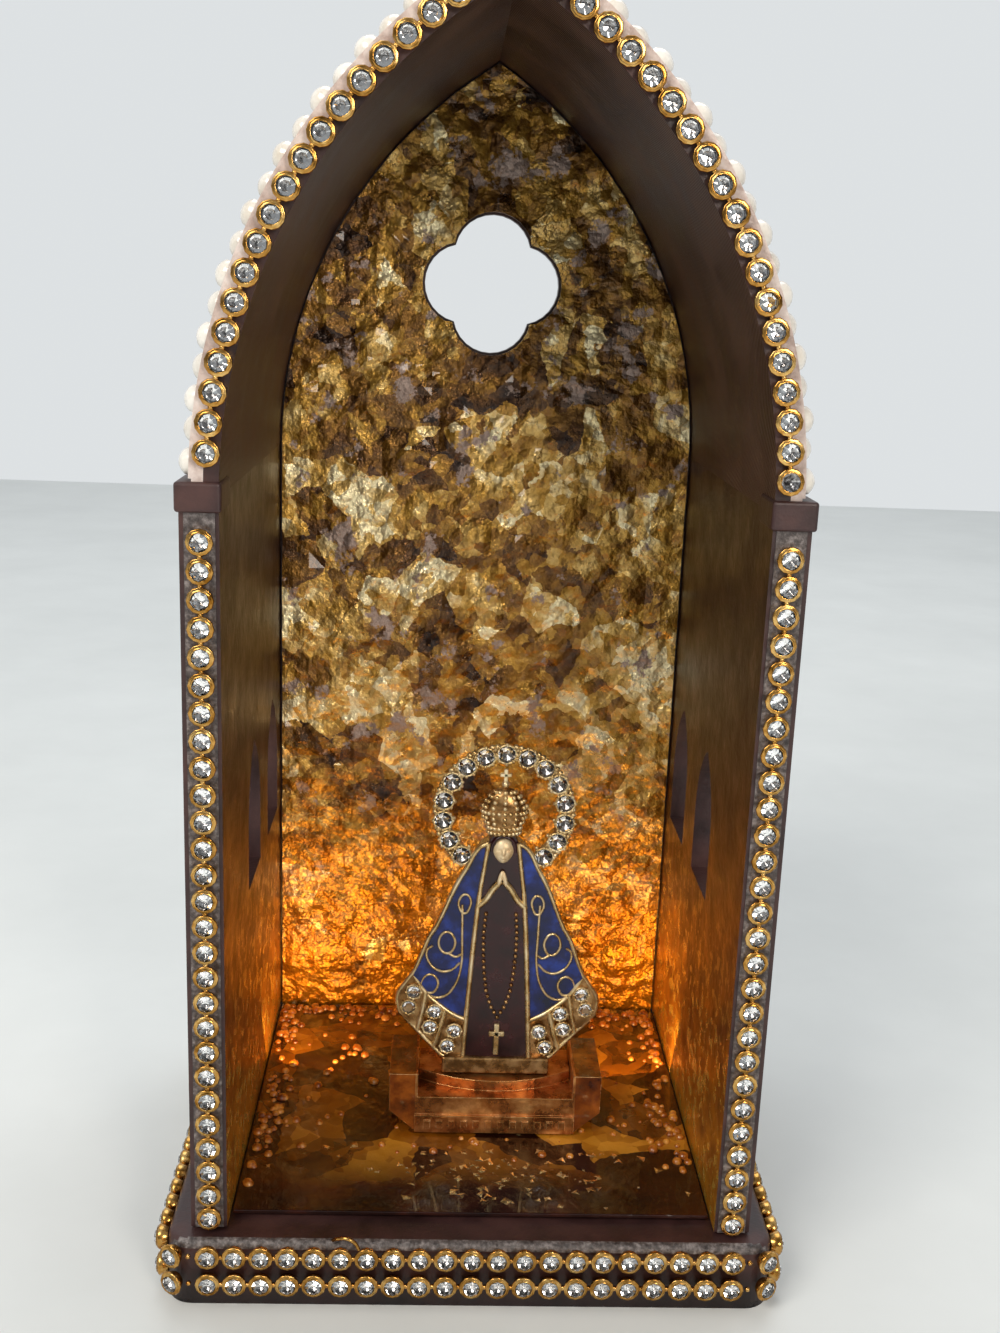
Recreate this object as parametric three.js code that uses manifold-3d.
// A small devotional shrine: a printed chapel with a pointed vault, trimmed with cup chain and half pearls,
// its back wall and floor leafed in gold, and a cast figure with a halo standing inside on a stepped pedestal.
// Millimetres, +Z up, the open front faces -Y, and the origin is under the middle of the base.
import * as THREE from "three";
import { mergeVertices } from "three/addons/utils/BufferGeometryUtils.js";
import Module from "manifold-3d";

const wasm = await Module();
wasm.setup();

// Clearance
const GLUE_LINE = 0.3; // between any two pieces that are glued or set together

// Base
const BASE_WIDTH = 70;
const BASE_DEPTH = 60.6;
const BASE_HEIGHT = 8.1;
const BASE_CORNER_RADIUS = 3;
const BASE_EDGE_RADIUS = 0.9;

// Chapel shell
const NICHE_WIDTH = 56.4; // clear width between the side walls
const WALL = 4.1;
const VAULT = 2.8; // thickness of the pointed vault
const SHELL_DEPTH = 56.4;
const SHELL_SETBACK = 2.45; // from the base's front face to the shell's
const BACK_WALL = 1.8;
const SPRING_HEIGHT = 84.1; // from the shell's foot to the springing of the vault
const ARC_CENTRE = 30.2; // each arc of the vault is struck from this far past the middle
const CAP_HEIGHT = 3.1;
const CAP_LENGTH = 6; // along the wall
const CAP_OUTER_LIP = 0.4;
const CAP_INNER_LIP = 0.3;
const CAP_FRONT_LIP = 0.6;

// Windows
const LOBE_RADIUS = 5.1;
const LOBE_OFFSET = 3.9; // from the middle of the quatrefoil to the middle of a lobe
const QUATREFOIL_HEIGHT = 106.2; // its middle above the shell's foot
const SLOT_WIDTH = 11;
const SLOT_HEIGHT = 17.7; // to the tip of its pointed head
const SLOT_SILL = 32.9; // above the shell's foot
const SLOT_PITCH = 18.6;
const SLOT_FIRST = 25.6; // middle of the first slot, behind the shell's front face
const SLOT_COUNT = 2;

// Leaf panel and resin floor
const LEAF_PANEL = 0.8;
const RESIN = 0.5;
const THRESHOLD = 2.4; // bare strip behind the shell's front face, before the resin starts

// Cup chain and pearls
const CHAIN_PITCH = 3.0;
const CUP_DIAMETER = 2.9;
const CUP_RIM = 1.05; // height of the cup's rim
const CUP_HEIGHT = 1.3; // to the table of the stone
const BASE_ROW_PITCH = 3.5;
const BASE_LOW_ROW = 3.15; // middle of the lower row above the ground
const CORNER_TURN = THREE.MathUtils.degToRad(30); // how far the last cup of a front row is turned
const CORNER_STAND = 0.7; // from the rounded corner to the turned cup's back
const PILLAR_CHAIN_INSET = 1.9; // from the wall's inner face to the middle of the chain
const ARCH_CHAIN_INSET = 1.3;
const PILLAR_CUP_DROP = 2.9; // from the cap down to the middle of the first cup
const ARCH_CUP_RISE = 2.0; // from the cap up to the middle of the lowest cup
const PEARL_DIAMETER = 3.0;
const PEARL_PITCH = 3.2;
const PEARL_ROW_PITCH = 3.0;
const PEARL_BED = 0.3; // the glue film that the pearls sit in

// Pedestal
const PEDESTAL_X = 3.0; // the figure stands a little right of the middle
const PEDESTAL_SETBACK = 18.6; // from the shell's front face to the pedestal's
const STEP_WIDTH = 20.4;
const PLATE_HEIGHT = 2.4;
const BAR_HEIGHT = 2.4;
const BAR_SETBACK = 0.4;
const BOW_HEIGHT = 1.4;
const BOW_SETBACK = 2.1;
const BOW_SAGITTA = 3.0;
const PEDESTAL_DEPTH = 10.5;
const CHEEK_WIDTH = 3.3;
const CHEEK_HEIGHT = 8.0;
const CHEEK_CHAMFER = 2.9; // height of the oblique cut under its outer side
const CHEEK_LAP = 0.3; // how far it is let into the steps
const STROKE_COUNT = 12;
const STROKE_RELIEF = 0.25;

// Figure: every size of the casting is a share of its height
const FIGURE_HEIGHT = 44.4;
const FIGURE_SETBACK = 2.9; // from the pedestal's front to the front of the figure's foot

const unit = FIGURE_HEIGHT / 44.4;

// Places worked out from the sizes
const chainStand = GLUE_LINE + CUP_HEIGHT; // how far a chain stands off the face behind it
const baseMiddleY = chainStand / 2; // only the front face carries a chain, so the base sits back by half of it
const baseFront = baseMiddleY - BASE_DEPTH / 2;
const shellFoot = BASE_HEIGHT + GLUE_LINE;
const shellFront = baseFront + SHELL_SETBACK;
const shellBack = shellFront + SHELL_DEPTH;
const nicheHalf = NICHE_WIDTH / 2;
const wallHalf = nicheHalf + WALL;
const spring = shellFoot + SPRING_HEIGHT;
const intrados = ARC_CENTRE + nicheHalf;
const extrados = intrados + VAULT;
const panelFront = shellBack - BACK_WALL - GLUE_LINE - LEAF_PANEL;
const resinTop = shellFoot + RESIN;
const pedestalFoot = resinTop + GLUE_LINE;
const pedestalFront = shellFront + PEDESTAL_SETBACK;
const pedestalTop = pedestalFoot + PLATE_HEIGHT + BAR_HEIGHT + BOW_HEIGHT;

// Materials
function finish(color, roughness, metalness) {
  return new THREE.MeshStandardMaterial({ color, roughness, metalness });
}
const plumPaint = finish(0x3d2422, 0.45, 0.1);
const goldLeaf = finish(0x9a6f2c, 0.35, 0.9);
const amberResin = finish(0x6b3410, 0.12, 0.2);
const giltCup = finish(0xd9a85c, 0.25, 0.9);
const pearl = finish(0xf1ece2, 0.25, 0.0);
const castGold = finish(0xd8b070, 0.3, 0.9);
const copperGilt = finish(0x9c5a2e, 0.25, 0.9);

// A closed three.js geometry as a solid that can be joined and cut.
function solidOf(geometry) {
  const bare = new THREE.BufferGeometry();
  bare.setAttribute("position", geometry.getAttribute("position"));
  bare.setIndex(geometry.getIndex());
  const merged = mergeVertices(bare, 1e-4);
  const corners = merged.getIndex().array;
  const kept = [];
  for (let i = 0; i < corners.length; i += 3) {
    const [a, b, c] = [corners[i], corners[i + 1], corners[i + 2]];
    if (a !== b && b !== c && c !== a) kept.push(a, b, c);
  }
  return new wasm.Manifold(
    new wasm.Mesh({
      numProp: 3,
      vertProperties: merged.getAttribute("position").array,
      triVerts: new Uint32Array(kept),
    }),
  );
}

function geometryOf(solid) {
  const mesh = solid.getMesh();
  const geometry = new THREE.BufferGeometry();
  geometry.setAttribute("position", new THREE.BufferAttribute(mesh.vertProperties, 3));
  geometry.setIndex(new THREE.BufferAttribute(mesh.triVerts, 1));
  return geometry;
}

function join(geometries) {
  return geometryOf(geometries.map(solidOf).reduce((whole, next) => whole.add(next)));
}

function cut(body, cutters) {
  return geometryOf(cutters.map(solidOf).reduce((rest, next) => rest.subtract(next), solidOf(body)));
}

// A shape drawn in x and z, made solid from yFront back to yBack.
function slab(shape, yFront, yBack, curveSegments = 6) {
  const geometry = new THREE.ExtrudeGeometry(shape, {
    depth: yBack - yFront,
    bevelEnabled: false,
    curveSegments,
  });
  return geometry.rotateX(Math.PI / 2).translate(0, yBack, 0);
}

// A shape drawn in x and y, made solid from zLow up to zHigh.
function layer(shape, zLow, zHigh, curveSegments = 6) {
  const geometry = new THREE.ExtrudeGeometry(shape, {
    depth: zHigh - zLow,
    bevelEnabled: false,
    curveSegments,
  });
  return geometry.translate(0, 0, zLow);
}

function block(xLow, xHigh, yLow, yHigh, zLow, zHigh) {
  const geometry = new THREE.BoxGeometry(xHigh - xLow, yHigh - yLow, zHigh - zLow);
  return geometry.translate((xLow + xHigh) / 2, (yLow + yHigh) / 2, (zLow + zHigh) / 2);
}

function polygon(points) {
  return new THREE.Shape(points.map(([x, y]) => new THREE.Vector2(x, y)));
}

// The angle of a pointed arc at its tip, seen from its own centre.
function tipAngle(radius, offset = ARC_CENTRE) {
  return Math.acos(offset / radius);
}

// A pointed arch on straight jambs, from z = foot up to its tip.
function pointedArch(half, foot, springing, offset) {
  const radius = offset + half;
  const tip = tipAngle(radius, offset);
  const shape = new THREE.Shape();
  shape.moveTo(half, foot);
  shape.lineTo(half, springing);
  shape.absarc(-offset, springing, radius, 0, tip, false);
  shape.absarc(offset, springing, radius, Math.PI - tip, Math.PI, false);
  shape.lineTo(-half, foot);
  return shape;
}

function quatrefoil(x, z) {
  const path = new THREE.Path();
  const cusp = (LOBE_OFFSET + Math.sqrt(2 * LOBE_RADIUS ** 2 - LOBE_OFFSET ** 2)) / 2;
  const sweep = Math.atan2(cusp, cusp - LOBE_OFFSET);
  for (let lobe = 0; lobe < 4; lobe += 1) {
    const turn = (lobe * Math.PI) / 2;
    const lobeX = x + LOBE_OFFSET * Math.cos(turn);
    const lobeZ = z + LOBE_OFFSET * Math.sin(turn);
    path.absarc(lobeX, lobeZ, LOBE_RADIUS, turn - sweep, turn + sweep, false);
  }
  return path;
}

// Base: a low block with rounded corners and a rounded top edge.
function basePlinth() {
  const halfX = BASE_WIDTH / 2;
  const halfY = BASE_DEPTH / 2;
  const r = BASE_CORNER_RADIUS;
  const shape = new THREE.Shape();
  shape.absarc(halfX - r, halfY - r, r, 0, Math.PI / 2, false);
  shape.absarc(-halfX + r, halfY - r, r, Math.PI / 2, Math.PI, false);
  shape.absarc(-halfX + r, -halfY + r, r, Math.PI, Math.PI * 1.5, false);
  shape.absarc(halfX - r, -halfY + r, r, Math.PI * 1.5, Math.PI * 2, false);
  const rounded = new THREE.ExtrudeGeometry(shape, {
    depth: BASE_HEIGHT,
    bevelEnabled: true,
    bevelThickness: BASE_EDGE_RADIUS,
    bevelSize: BASE_EDGE_RADIUS,
    bevelOffset: -BASE_EDGE_RADIUS,
    bevelSegments: 2,
    curveSegments: 2,
  });
  rounded.translate(0, baseMiddleY, -BASE_EDGE_RADIUS);
  const below = block(-BASE_WIDTH, BASE_WIDTH, -BASE_DEPTH, BASE_DEPTH, -BASE_HEIGHT, 0);
  return cut(rounded, [below]);
}

// Shell: side walls, pointed vault, back wall with its quatrefoil, the side slots and the caps, printed as one.
function chapelShell() {
  const outline = new THREE.Shape();
  const outerTip = tipAngle(extrados);
  const innerTip = tipAngle(intrados);
  outline.moveTo(-wallHalf, shellFoot);
  outline.lineTo(-wallHalf, spring);
  outline.absarc(ARC_CENTRE, spring, extrados, Math.PI, Math.PI - outerTip, true);
  outline.absarc(-ARC_CENTRE, spring, extrados, outerTip, 0, true);
  outline.lineTo(wallHalf, spring);
  outline.lineTo(wallHalf, shellFoot);
  outline.lineTo(nicheHalf, shellFoot);
  outline.lineTo(nicheHalf, spring);
  outline.absarc(-ARC_CENTRE, spring, intrados, 0, innerTip, false);
  outline.absarc(ARC_CENTRE, spring, intrados, Math.PI - innerTip, Math.PI, false);
  outline.lineTo(-nicheHalf, shellFoot);

  const back = pointedArch(nicheHalf + VAULT / 2, shellFoot, spring, ARC_CENTRE);
  back.holes.push(quatrefoil(0, shellFoot + QUATREFOIL_HEIGHT));

  const caps = [-1, 1].map((side) => {
    const near = side * (nicheHalf - CAP_INNER_LIP);
    const far = side * (wallHalf + CAP_OUTER_LIP);
    return block(
      Math.min(near, far),
      Math.max(near, far),
      shellFront - CAP_FRONT_LIP,
      shellFront + CAP_LENGTH,
      spring - CAP_HEIGHT / 2,
      spring + CAP_HEIGHT / 2,
    );
  });
  const body = join([
    slab(outline, shellFront, shellBack),
    slab(back, shellBack - BACK_WALL, shellBack),
    ...caps,
  ]);
  return cut(body, slotCutters());
}

// Pointed slots right through both side walls.
function slotCutters() {
  const half = SLOT_WIDTH / 2;
  const head = half * Math.sqrt(3); // each side of the head is struck from the other side's springing
  const reach = wallHalf + CAP_OUTER_LIP;
  const cutters = [];
  for (let i = 0; i < SLOT_COUNT; i += 1) {
    const sill = shellFoot + SLOT_SILL;
    const shape = pointedArch(half, sill, sill + SLOT_HEIGHT - head, half);
    const middle = shellFront + SLOT_FIRST + i * SLOT_PITCH;
    const prism = new THREE.ExtrudeGeometry(shape, { depth: 2 * reach, bevelEnabled: false, curveSegments: 2 });
    prism.rotateX(Math.PI / 2).rotateZ(Math.PI / 2);
    cutters.push(prism.translate(-reach, middle, 0));
  }
  return cutters;
}

// Leaf panel: a thin sheet in front of the back wall, with the same quatrefoil.
function leafPanel() {
  const shape = pointedArch(nicheHalf - GLUE_LINE, shellFoot, spring, ARC_CENTRE);
  shape.holes.push(quatrefoil(0, shellFoot + QUATREFOIL_HEIGHT));
  return slab(shape, panelFront, panelFront + LEAF_PANEL);
}

// Resin floor: a shallow pour between the walls, stopping short of the open front.
function resinFloor() {
  const half = nicheHalf - GLUE_LINE;
  return block(-half, half, shellFront + THRESHOLD, panelFront - GLUE_LINE, shellFoot, resinTop);
}

// A run of cups soldered edge to edge. Each place gives the middle of the cup's back, the direction of the
// run there and the direction that the cup faces. Each cup has six sides, two of them shared.
function cupChain(places, emptyCup = -1) {
  const radius = CUP_DIAMETER / 2;
  const neck = radius * Math.tan(Math.PI / 6);
  const points = [];
  const faces = [];
  const push = (point) => points.push(point) - 1;

  // The two corners, at a height off the back, of the joint between one cup and the next.
  function joint(before, after, height) {
    const middle = before.at.clone().add(after.at).multiplyScalar(0.5);
    const out = before.out.clone().add(after.out).normalize();
    const along = before.along.clone().add(after.along).normalize();
    const across = new THREE.Vector3().crossVectors(out, along);
    return [1, -1].map((side) =>
      push(middle.clone().addScaledVector(out, height).addScaledVector(across, side * neck)),
    );
  }

  // A place one half pitch past an end of the run, so that the end cups close like the rest.
  function beyond(place, direction) {
    const at = place.at.clone().addScaledVector(place.along, direction * CHAIN_PITCH);
    return { ...place, at };
  }

  const run = [beyond(places[0], -1), ...places, beyond(places[places.length - 1], 1)];
  const joints = [];
  for (let i = 0; i + 1 < run.length; i += 1) {
    joints.push({ low: joint(run[i], run[i + 1], 0), high: joint(run[i], run[i + 1], CUP_RIM) });
  }

  places.forEach((place, i) => {
    const across = new THREE.Vector3().crossVectors(place.out, place.along);
    const shoulder = (side, height) =>
      push(place.at.clone().addScaledVector(across, side * radius).addScaledVector(place.out, height));
    const ring = (level, height) => {
      const [startUp, startDown] = joints[i][level];
      const [endUp, endDown] = joints[i + 1][level];
      return [startUp, shoulder(1, height), endUp, endDown, shoulder(-1, height), startDown];
    };
    const low = ring("low", 0);
    const high = ring("high", CUP_RIM);
    const tableHeight = i === emptyCup ? CUP_RIM / 2 : CUP_HEIGHT;
    const table = push(place.at.clone().addScaledVector(place.out, tableHeight));
    const count = low.length;
    const endSide = 2; // the side towards the next cup
    const startSide = 5; // the side towards the cup before
    for (let k = 0; k < count; k += 1) {
      const next = (k + 1) % count;
      faces.push([high[k], table, high[next]]);
      const shared = (k === endSide && i < places.length - 1) || (k === startSide && i > 0);
      if (!shared) faces.push([low[k], high[k], high[next]], [low[k], high[next], low[next]]);
    }
    for (let k = 1; k + 1 < count; k += 1) faces.push([low[0], low[k], low[k + 1]]);
  });

  const geometry = new THREE.BufferGeometry().setFromPoints(points);
  geometry.setIndex(faces.flat());
  return geometry;
}

function vector(x, y, z) {
  return new THREE.Vector3(x, y, z);
}

function pillarChain(side) {
  const x = side * (nicheHalf + PILLAR_CHAIN_INSET);
  const top = spring - CAP_HEIGHT / 2 - PILLAR_CUP_DROP;
  const room = top - shellFoot - CUP_DIAMETER / 2;
  const count = Math.floor(room / CHAIN_PITCH) + 1;
  const places = [];
  for (let i = 0; i < count; i += 1) {
    places.push({
      at: vector(x, shellFront - GLUE_LINE, top - i * CHAIN_PITCH),
      along: vector(0, 0, -1),
      out: vector(0, -1, 0),
    });
  }
  return cupChain(places);
}

// The lowest cup of the right run has lost its stone. The right run also fills the tip of the arch.
function archChain(side) {
  const radius = intrados + ARCH_CHAIN_INSET;
  const step = CHAIN_PITCH / radius;
  const start = Math.asin((CAP_HEIGHT / 2 + ARCH_CUP_RISE + (side < 0 ? CUP_DIAMETER / 3 : 0)) / radius);
  const room = tipAngle(radius) - start - CUP_DIAMETER / 2 / radius;
  const count = Math.floor(room / step) + 1;
  const places = [];
  for (let i = 0; i < count; i += 1) {
    const angle = start + i * step;
    const x = side * (radius * Math.cos(angle) - ARC_CENTRE);
    places.push({
      at: vector(x, shellFront - GLUE_LINE, spring + radius * Math.sin(angle)),
      along: vector(-side * Math.sin(angle), 0, Math.cos(angle)),
      out: vector(0, -1, 0),
    });
  }
  return cupChain(places, side > 0 ? 0 : -1);
}

// A front row ends in a turned cup at each rounded corner of the base.
function baseFrontChain(z) {
  const straight = BASE_WIDTH / 2 - BASE_CORNER_RADIUS;
  const half = Math.floor((straight - CUP_DIAMETER / 2) / CHAIN_PITCH);
  const places = [];
  for (let i = -half; i <= half; i += 1) {
    places.push({
      at: vector(i * CHAIN_PITCH, baseFront - GLUE_LINE, z),
      along: vector(1, 0, 0),
      out: vector(0, -1, 0),
    });
  }
  const turned = (side) => {
    const out = vector(side * Math.sin(CORNER_TURN), -Math.cos(CORNER_TURN), 0);
    const corner = vector(side * straight, baseFront + BASE_CORNER_RADIUS, z);
    return {
      at: corner.addScaledVector(out, BASE_CORNER_RADIUS + CORNER_STAND),
      along: vector(Math.cos(CORNER_TURN), side * Math.sin(CORNER_TURN), 0),
      out,
    };
  };
  return cupChain([turned(-1), ...places, turned(1)]);
}

function baseSideChain(side, z) {
  const x = side * (BASE_WIDTH / 2 + GLUE_LINE);
  const first = baseFront + CHAIN_PITCH;
  const room = BASE_DEPTH - CHAIN_PITCH - BASE_CORNER_RADIUS;
  const count = Math.floor(room / CHAIN_PITCH) + 1;
  const places = [];
  for (let i = 0; i < count; i += 1) {
    places.push({
      at: vector(x, first + i * CHAIN_PITCH, z),
      along: vector(0, side, 0),
      out: vector(side, 0, 0),
    });
  }
  return cupChain(side > 0 ? places : places.reverse());
}

// Half pearls on one slope of the roof, in staggered rows, as one studded sheet. The rows run front to
// back. Each pearl is a peak between four valleys, and every other row is shifted by half a pitch.
function pearlSheet(side) {
  const bedRadius = extrados + GLUE_LINE;
  const start = Math.asin((CAP_HEIGHT / 2 + GLUE_LINE) / bedRadius);
  const end = tipAngle(bedRadius, ARC_CENTRE + GLUE_LINE);
  const rows = Math.floor(((end - start) * bedRadius) / PEARL_ROW_PITCH);
  const columns = 2 * Math.floor(SHELL_DEPTH / PEARL_PITCH);
  const points = [];
  const faces = [];
  const place = (angle, column, height) => {
    const radius = bedRadius + height;
    const x = side * (radius * Math.cos(angle) - ARC_CENTRE);
    const y = shellFront + (column / columns) * SHELL_DEPTH;
    return points.push(vector(x, y, spring + radius * Math.sin(angle))) - 1;
  };
  const isPearl = (row, column) =>
    row > 0 && row <= rows && column > 0 && column < columns && (row + column) % 2 === 0;
  const rowAngle = (row) => {
    const share = THREE.MathUtils.clamp((row - 0.5) / rows, 0, 1);
    return start + share * (end - start);
  };

  const top = [];
  const bed = [];
  for (let row = 0; row <= rows + 1; row += 1) {
    const line = [];
    for (let column = 0; column <= columns; column += 1) {
      const height = isPearl(row, column) ? PEARL_DIAMETER / 2 : PEARL_BED;
      line.push(place(rowAngle(row), column, height));
    }
    top.push(line);
    bed.push([place(rowAngle(row), 0, 0), place(rowAngle(row), columns, 0)]);
  }
  for (let row = 0; row <= rows; row += 1) {
    for (let column = 0; column < columns; column += 1) {
      const [a, b] = [top[row][column], top[row][column + 1]];
      const [c, d] = [top[row + 1][column + 1], top[row + 1][column]];
      const fallsFromA = isPearl(row, column) || isPearl(row + 1, column + 1);
      if (fallsFromA) faces.push([a, b, d], [b, c, d]);
      else faces.push([a, b, c], [a, c, d]);
    }
    const [front, back] = bed[row];
    const [frontUp, backUp] = bed[row + 1];
    faces.push([front, frontUp, backUp], [front, backUp, back]);
    faces.push([front, top[row][0], top[row + 1][0]], [front, top[row + 1][0], frontUp]);
    faces.push([back, backUp, top[row + 1][columns]], [back, top[row + 1][columns], top[row][columns]]);
  }
  const [first, last] = [0, rows + 1];
  for (let column = 0; column < columns; column += 1) {
    faces.push([bed[first][0], top[first][column + 1], top[first][column]]);
    faces.push([bed[last][0], top[last][column], top[last][column + 1]]);
  }
  faces.push([bed[first][0], bed[first][1], top[first][columns]]);
  faces.push([bed[last][0], top[last][columns], bed[last][1]]);

  const geometry = new THREE.BufferGeometry().setFromPoints(points);
  const turned = side > 0 ? faces : faces.map(([a, b, c]) => [a, c, b]);
  geometry.setIndex(turned.flat());
  return geometry;
}

// Pedestal: a plate with a row of shallow strokes, a bar, a bow fronted step, and a tall cheek each side.
function pedestal() {
  const half = STEP_WIDTH / 2;
  const barFoot = PLATE_HEIGHT;
  const bowFoot = PLATE_HEIGHT + BAR_HEIGHT;
  const top = bowFoot + BOW_HEIGHT;
  const bowHalf = half - BAR_SETBACK;
  const bowRadius = (bowHalf ** 2 + BOW_SAGITTA ** 2) / (2 * BOW_SAGITTA);
  const bowAngle = Math.asin(bowHalf / bowRadius);
  const bow = new THREE.Shape();
  const bowCentre = BOW_SETBACK + bowRadius;
  bow.absarc(0, bowCentre, bowRadius, -Math.PI / 2 - bowAngle, -Math.PI / 2 + bowAngle, false);
  bow.lineTo(bowHalf, PEDESTAL_DEPTH);
  bow.lineTo(-bowHalf, PEDESTAL_DEPTH);

  const pieces = [
    block(-half, half, 0, PEDESTAL_DEPTH, 0, barFoot),
    block(-half, half, BAR_SETBACK, PEDESTAL_DEPTH, barFoot / 2, bowFoot),
    layer(bow, barFoot, top, 4),
  ];
  for (const side of [-1, 1]) {
    const corners = [
      [half - CHEEK_LAP, 0],
      [half, 0],
      [half + CHEEK_WIDTH, CHEEK_CHAMFER],
      [half + CHEEK_WIDTH, CHEEK_HEIGHT],
      [half - CHEEK_LAP, CHEEK_HEIGHT],
    ].map(([x, z]) => [side * x, z]);
    const outline = polygon(side > 0 ? corners : corners.reverse());
    pieces.push(slab(outline, BAR_SETBACK, PEDESTAL_DEPTH));
  }
  const strokePitch = STEP_WIDTH / (STROKE_COUNT + 1);
  for (let i = 0; i < STROKE_COUNT; i += 1) {
    const x = -half + (i + 1) * strokePitch;
    const width = strokePitch / 4;
    const low = PLATE_HEIGHT * 0.3;
    const high = PLATE_HEIGHT * 0.75;
    pieces.push(block(x - width, x + width, -STROKE_RELIEF, 0.2, low, high));
  }
  return join(pieces);
}

// Figure: one casting, drawn from its foot upwards, flat at the back and bowed at the front.
const figureBack = 3.9 * unit;
const robeTop = 23.1 * unit;
const hemRise = 0.96; // slope of the hem's cut towards its outer corners

// How far forward the mantle's front lies at a place across it, from -1 to 1.
function mantleFront(across) {
  return (0.9 + 1.5 * across * across) * unit;
}

// The mantle as a fan of columns from the hem up to the neck.
function mantle() {
  const columns = 10;
  const hemHalf = 12.6;
  const rowsOf = (across) => {
    const bottomX = hemHalf * across;
    const bottomZ = 1.9 + hemRise * Math.max(0, Math.abs(bottomX) - 6.4);
    const hemTopX = 10.8 * across;
    const hemTopZ = 7.0 + 0.052 * hemTopX * hemTopX;
    return [
      [bottomX, bottomZ],
      [bottomX * 1.015, bottomZ + 2.1],
      [hemTopX, hemTopZ],
      [6.9 * across, hemTopZ + (30.9 - hemTopZ) * 0.5],
      [3.1 * across, 30.9],
      [2.1 * across, 32.6],
    ];
  };
  const points = [];
  const grid = [];
  for (let i = 0; i <= columns; i += 1) {
    const across = (2 * i) / columns - 1;
    grid.push(
      rowsOf(across).map(([x, z]) => {
        const front = points.push(vector(x * unit, mantleFront(across), z * unit)) - 1;
        const back = points.push(vector(x * unit, figureBack, z * unit)) - 1;
        return { front, back };
      }),
    );
  }
  const faces = [];
  const quad = (a, b, c, d) => faces.push([a, b, c], [a, c, d]);
  const last = grid[0].length - 1;
  for (let i = 0; i < columns; i += 1) {
    const [left, right] = [grid[i], grid[i + 1]];
    for (let j = 0; j < last; j += 1) {
      quad(left[j].front, right[j].front, right[j + 1].front, left[j + 1].front);
      quad(left[j].back, left[j + 1].back, right[j + 1].back, right[j].back);
    }
    quad(left[0].back, right[0].back, right[0].front, left[0].front);
    quad(left[last].front, right[last].front, right[last].back, left[last].back);
  }
  for (let j = 0; j < last; j += 1) {
    const [first, end] = [grid[0], grid[columns]];
    quad(first[j].back, first[j].front, first[j + 1].front, first[j + 1].back);
    quad(end[j].front, end[j].back, end[j + 1].back, end[j + 1].front);
  }
  const geometry = new THREE.BufferGeometry().setFromPoints(points);
  geometry.setIndex(faces.flat());
  return geometry;
}

// A raised rib between two points of the figure's front, given as shares of the casting.
function rib([x1, z1], [x2, z2], width = 0.45, front = 0.3) {
  const length = Math.hypot(x2 - x1, z2 - z1) * unit;
  const depth = 2.2 * unit;
  const bar = new THREE.BoxGeometry(width * unit, depth, length + width * unit);
  bar.rotateY(Math.atan2(x2 - x1, z2 - z1));
  return bar.translate(((x1 + x2) / 2) * unit, front * unit + depth / 2, ((z1 + z2) / 2) * unit);
}

// A stone in its setting as a low six sided cone, facing forward.
function stone(x, z, radius, front, back) {
  const cone = new THREE.ConeGeometry(radius * unit, (back - front) * unit, 6);
  return cone.rotateX(Math.PI).translate(x * unit, ((front + back) / 2) * unit, z * unit);
}

function halo() {
  const middle = 35.1;
  const stoneRing = 7.7;
  const count = 15;
  const step = THREE.MathUtils.degToRad(19.7);
  const first = Math.PI / 2 - (step * (count - 1)) / 2;
  const last = first + step * (count - 1);
  const ring = new THREE.Shape();
  ring.absarc(0, middle * unit, 9.0 * unit, first - step / 2, last + step / 2, false);
  ring.absarc(0, middle * unit, 6.4 * unit, last + step / 2, first - step / 2, true);
  const pieces = [slab(ring, 2.6 * unit, figureBack, 11)];
  for (let i = 0; i < count; i += 1) {
    const angle = first + i * step;
    const x = stoneRing * Math.cos(angle);
    const z = middle + stoneRing * Math.sin(angle);
    pieces.push(stone(x, z, 1.15, 1.7, 2.9));
  }
  return pieces;
}

function headAndCrown() {
  const face = new THREE.SphereGeometry(1, 8, 6);
  face.scale(1.25 * unit, 1.35 * unit, 1.55 * unit).translate(0, 1.6 * unit, 30.5 * unit);
  const profile = [
    [0, 31.6],
    [1.85, 31.8],
    [1.95, 33.0],
    [2.75, 34.6],
    [2.75, 36.2],
    [1.9, 37.8],
    [0.6, 38.7],
    [0.45, 39.2],
    [0, 39.6],
  ].map(([radius, z]) => new THREE.Vector2(radius * unit, z * unit));
  const crown = new THREE.LatheGeometry(profile, 10);
  crown.rotateX(Math.PI / 2).scale(1, 0.62, 1).translate(0, 2.2 * unit, 0);
  return [
    face,
    crown,
    block(-0.25 * unit, 0.25 * unit, 1.9 * unit, 2.5 * unit, 39.0 * unit, 41.2 * unit),
    block(-0.75 * unit, 0.75 * unit, 1.9 * unit, 2.5 * unit, 40.0 * unit, 40.5 * unit),
    block(-2.0 * unit, 2.0 * unit, 1.5 * unit, figureBack, 30.5 * unit, 33.0 * unit),
    block(-0.6 * unit, 0.6 * unit, 2.2 * unit, figureBack, 38.0 * unit, 43.0 * unit),
  ];
}

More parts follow.
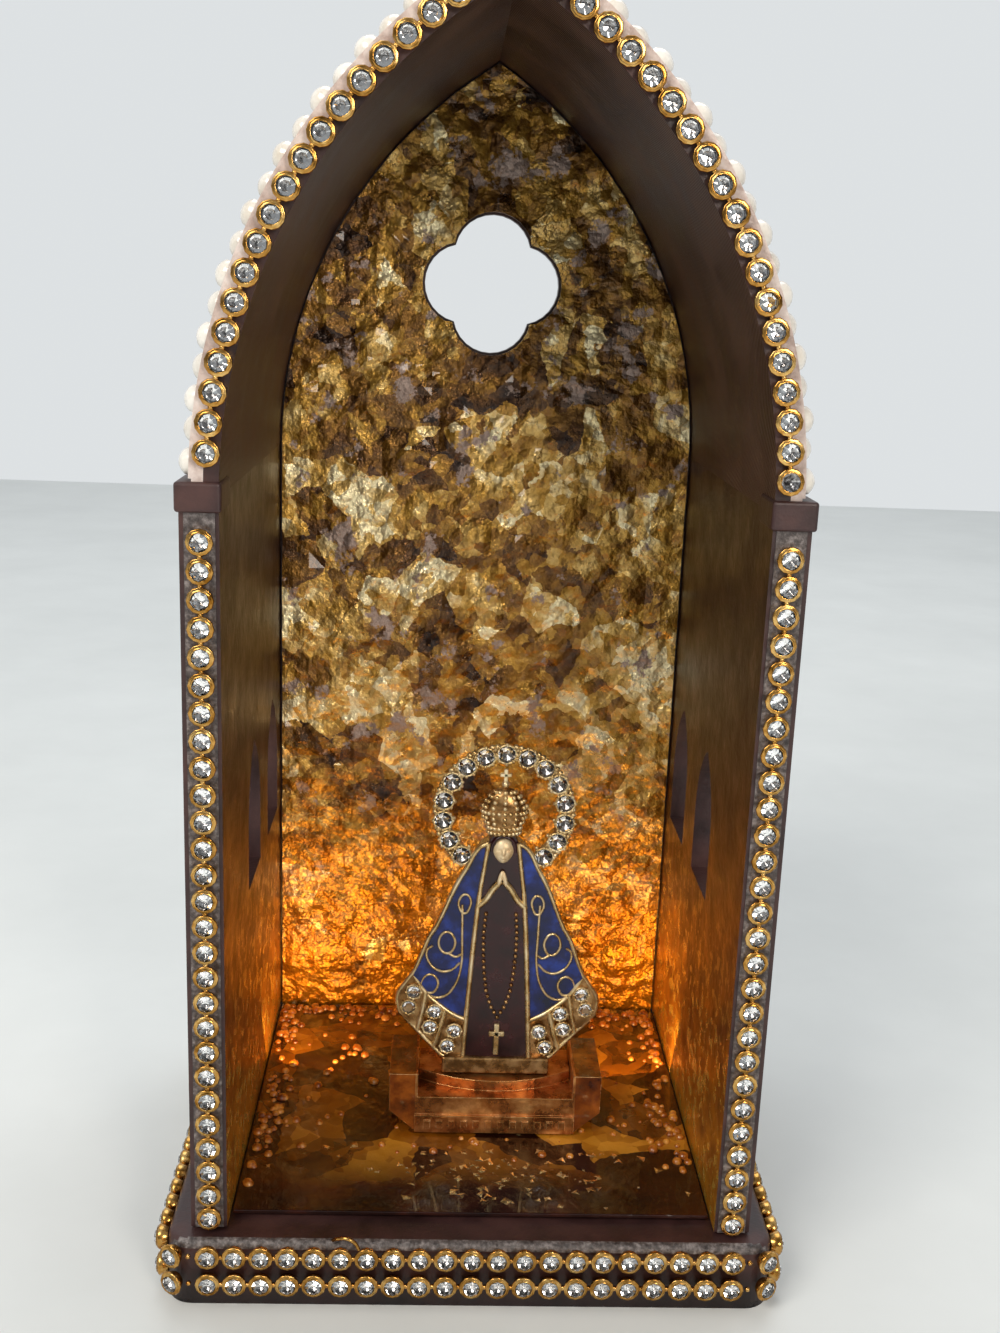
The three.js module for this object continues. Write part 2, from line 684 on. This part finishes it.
function figure() {
  const foot = block(-7 * unit, 7 * unit, 0, 4.6 * unit, 0, 2.3 * unit);
  const robe = polygon(
    [
      [-4.2, 2.0],
      [4.2, 2.0],
      [2.9, 23.1],
      [0, 26.2],
      [-2.9, 23.1],
    ].map(([x, z]) => [x * unit, z * unit]),
  );
  const pieces = [foot, mantle(), slab(robe, 0.55 * unit, figureBack - 0.5 * unit), ...halo(), ...headAndCrown()];
  for (const side of [-1, 1]) {
    const flip = ([x, z]) => [side * x, z];
    pieces.push(rib(flip([4.3, 2.1]), flip([2.95, 23.1])));
    pieces.push(rib(flip([2.95, 23.1]), flip([0.1, 26.5])));
    pieces.push(rib(flip([2.85, 23.6]), flip([2.1, 31.6]), 0.4, 0.5));
    pieces.push(rib(flip([8.0, 3.6]), flip([6.7, 8.3]), 0.4, 0.7));
    pieces.push(rib(flip([10.2, 5.8]), flip([9.2, 10.5]), 0.4, 1.1));
  }
  pieces.push(rib([0, 2.8], [0, 7.0], 0.5, 0.3), rib([-0.6, 6.0], [0.6, 6.0], 0.5, 0.3));
  return join(pieces);
}

// Assembly
const shrine = new THREE.Group();

function add(parent, name, geometry, material) {
  const mesh = new THREE.Mesh(geometry, material);
  mesh.name = name;
  parent.add(mesh);
  return mesh;
}

add(shrine, "base_plinth", basePlinth(), plumPaint);
add(shrine, "chapel_shell", chapelShell(), plumPaint);
add(shrine, "leaf_panel", leafPanel(), goldLeaf);
add(shrine, "resin_floor", resinFloor(), amberResin);

const trim = new THREE.Group();
shrine.add(trim);
const rows = { lower: BASE_LOW_ROW, upper: BASE_LOW_ROW + BASE_ROW_PITCH };
for (const [level, z] of Object.entries(rows)) {
  add(trim, `base_chain_front_${level}`, baseFrontChain(z), giltCup);
}
for (const [name, side] of [["left", -1], ["right", 1]]) {
  add(trim, `pillar_chain_${name}`, pillarChain(side), giltCup);
  add(trim, `arch_chain_${name}`, archChain(side), giltCup);
  add(trim, `roof_pearls_${name}`, pearlSheet(side), pearl);
  for (const [level, z] of Object.entries(rows)) {
    add(trim, `base_chain_${name}_${level}`, baseSideChain(side, z), giltCup);
  }
}

const devotion = new THREE.Group();
devotion.position.set(PEDESTAL_X, pedestalFront, 0);
shrine.add(devotion);
add(devotion, "pedestal", pedestal(), copperGilt).position.z = pedestalFoot;
add(devotion, "figure", figure(), castGold).position.set(0, FIGURE_SETBACK, pedestalTop + GLUE_LINE);

export default shrine;
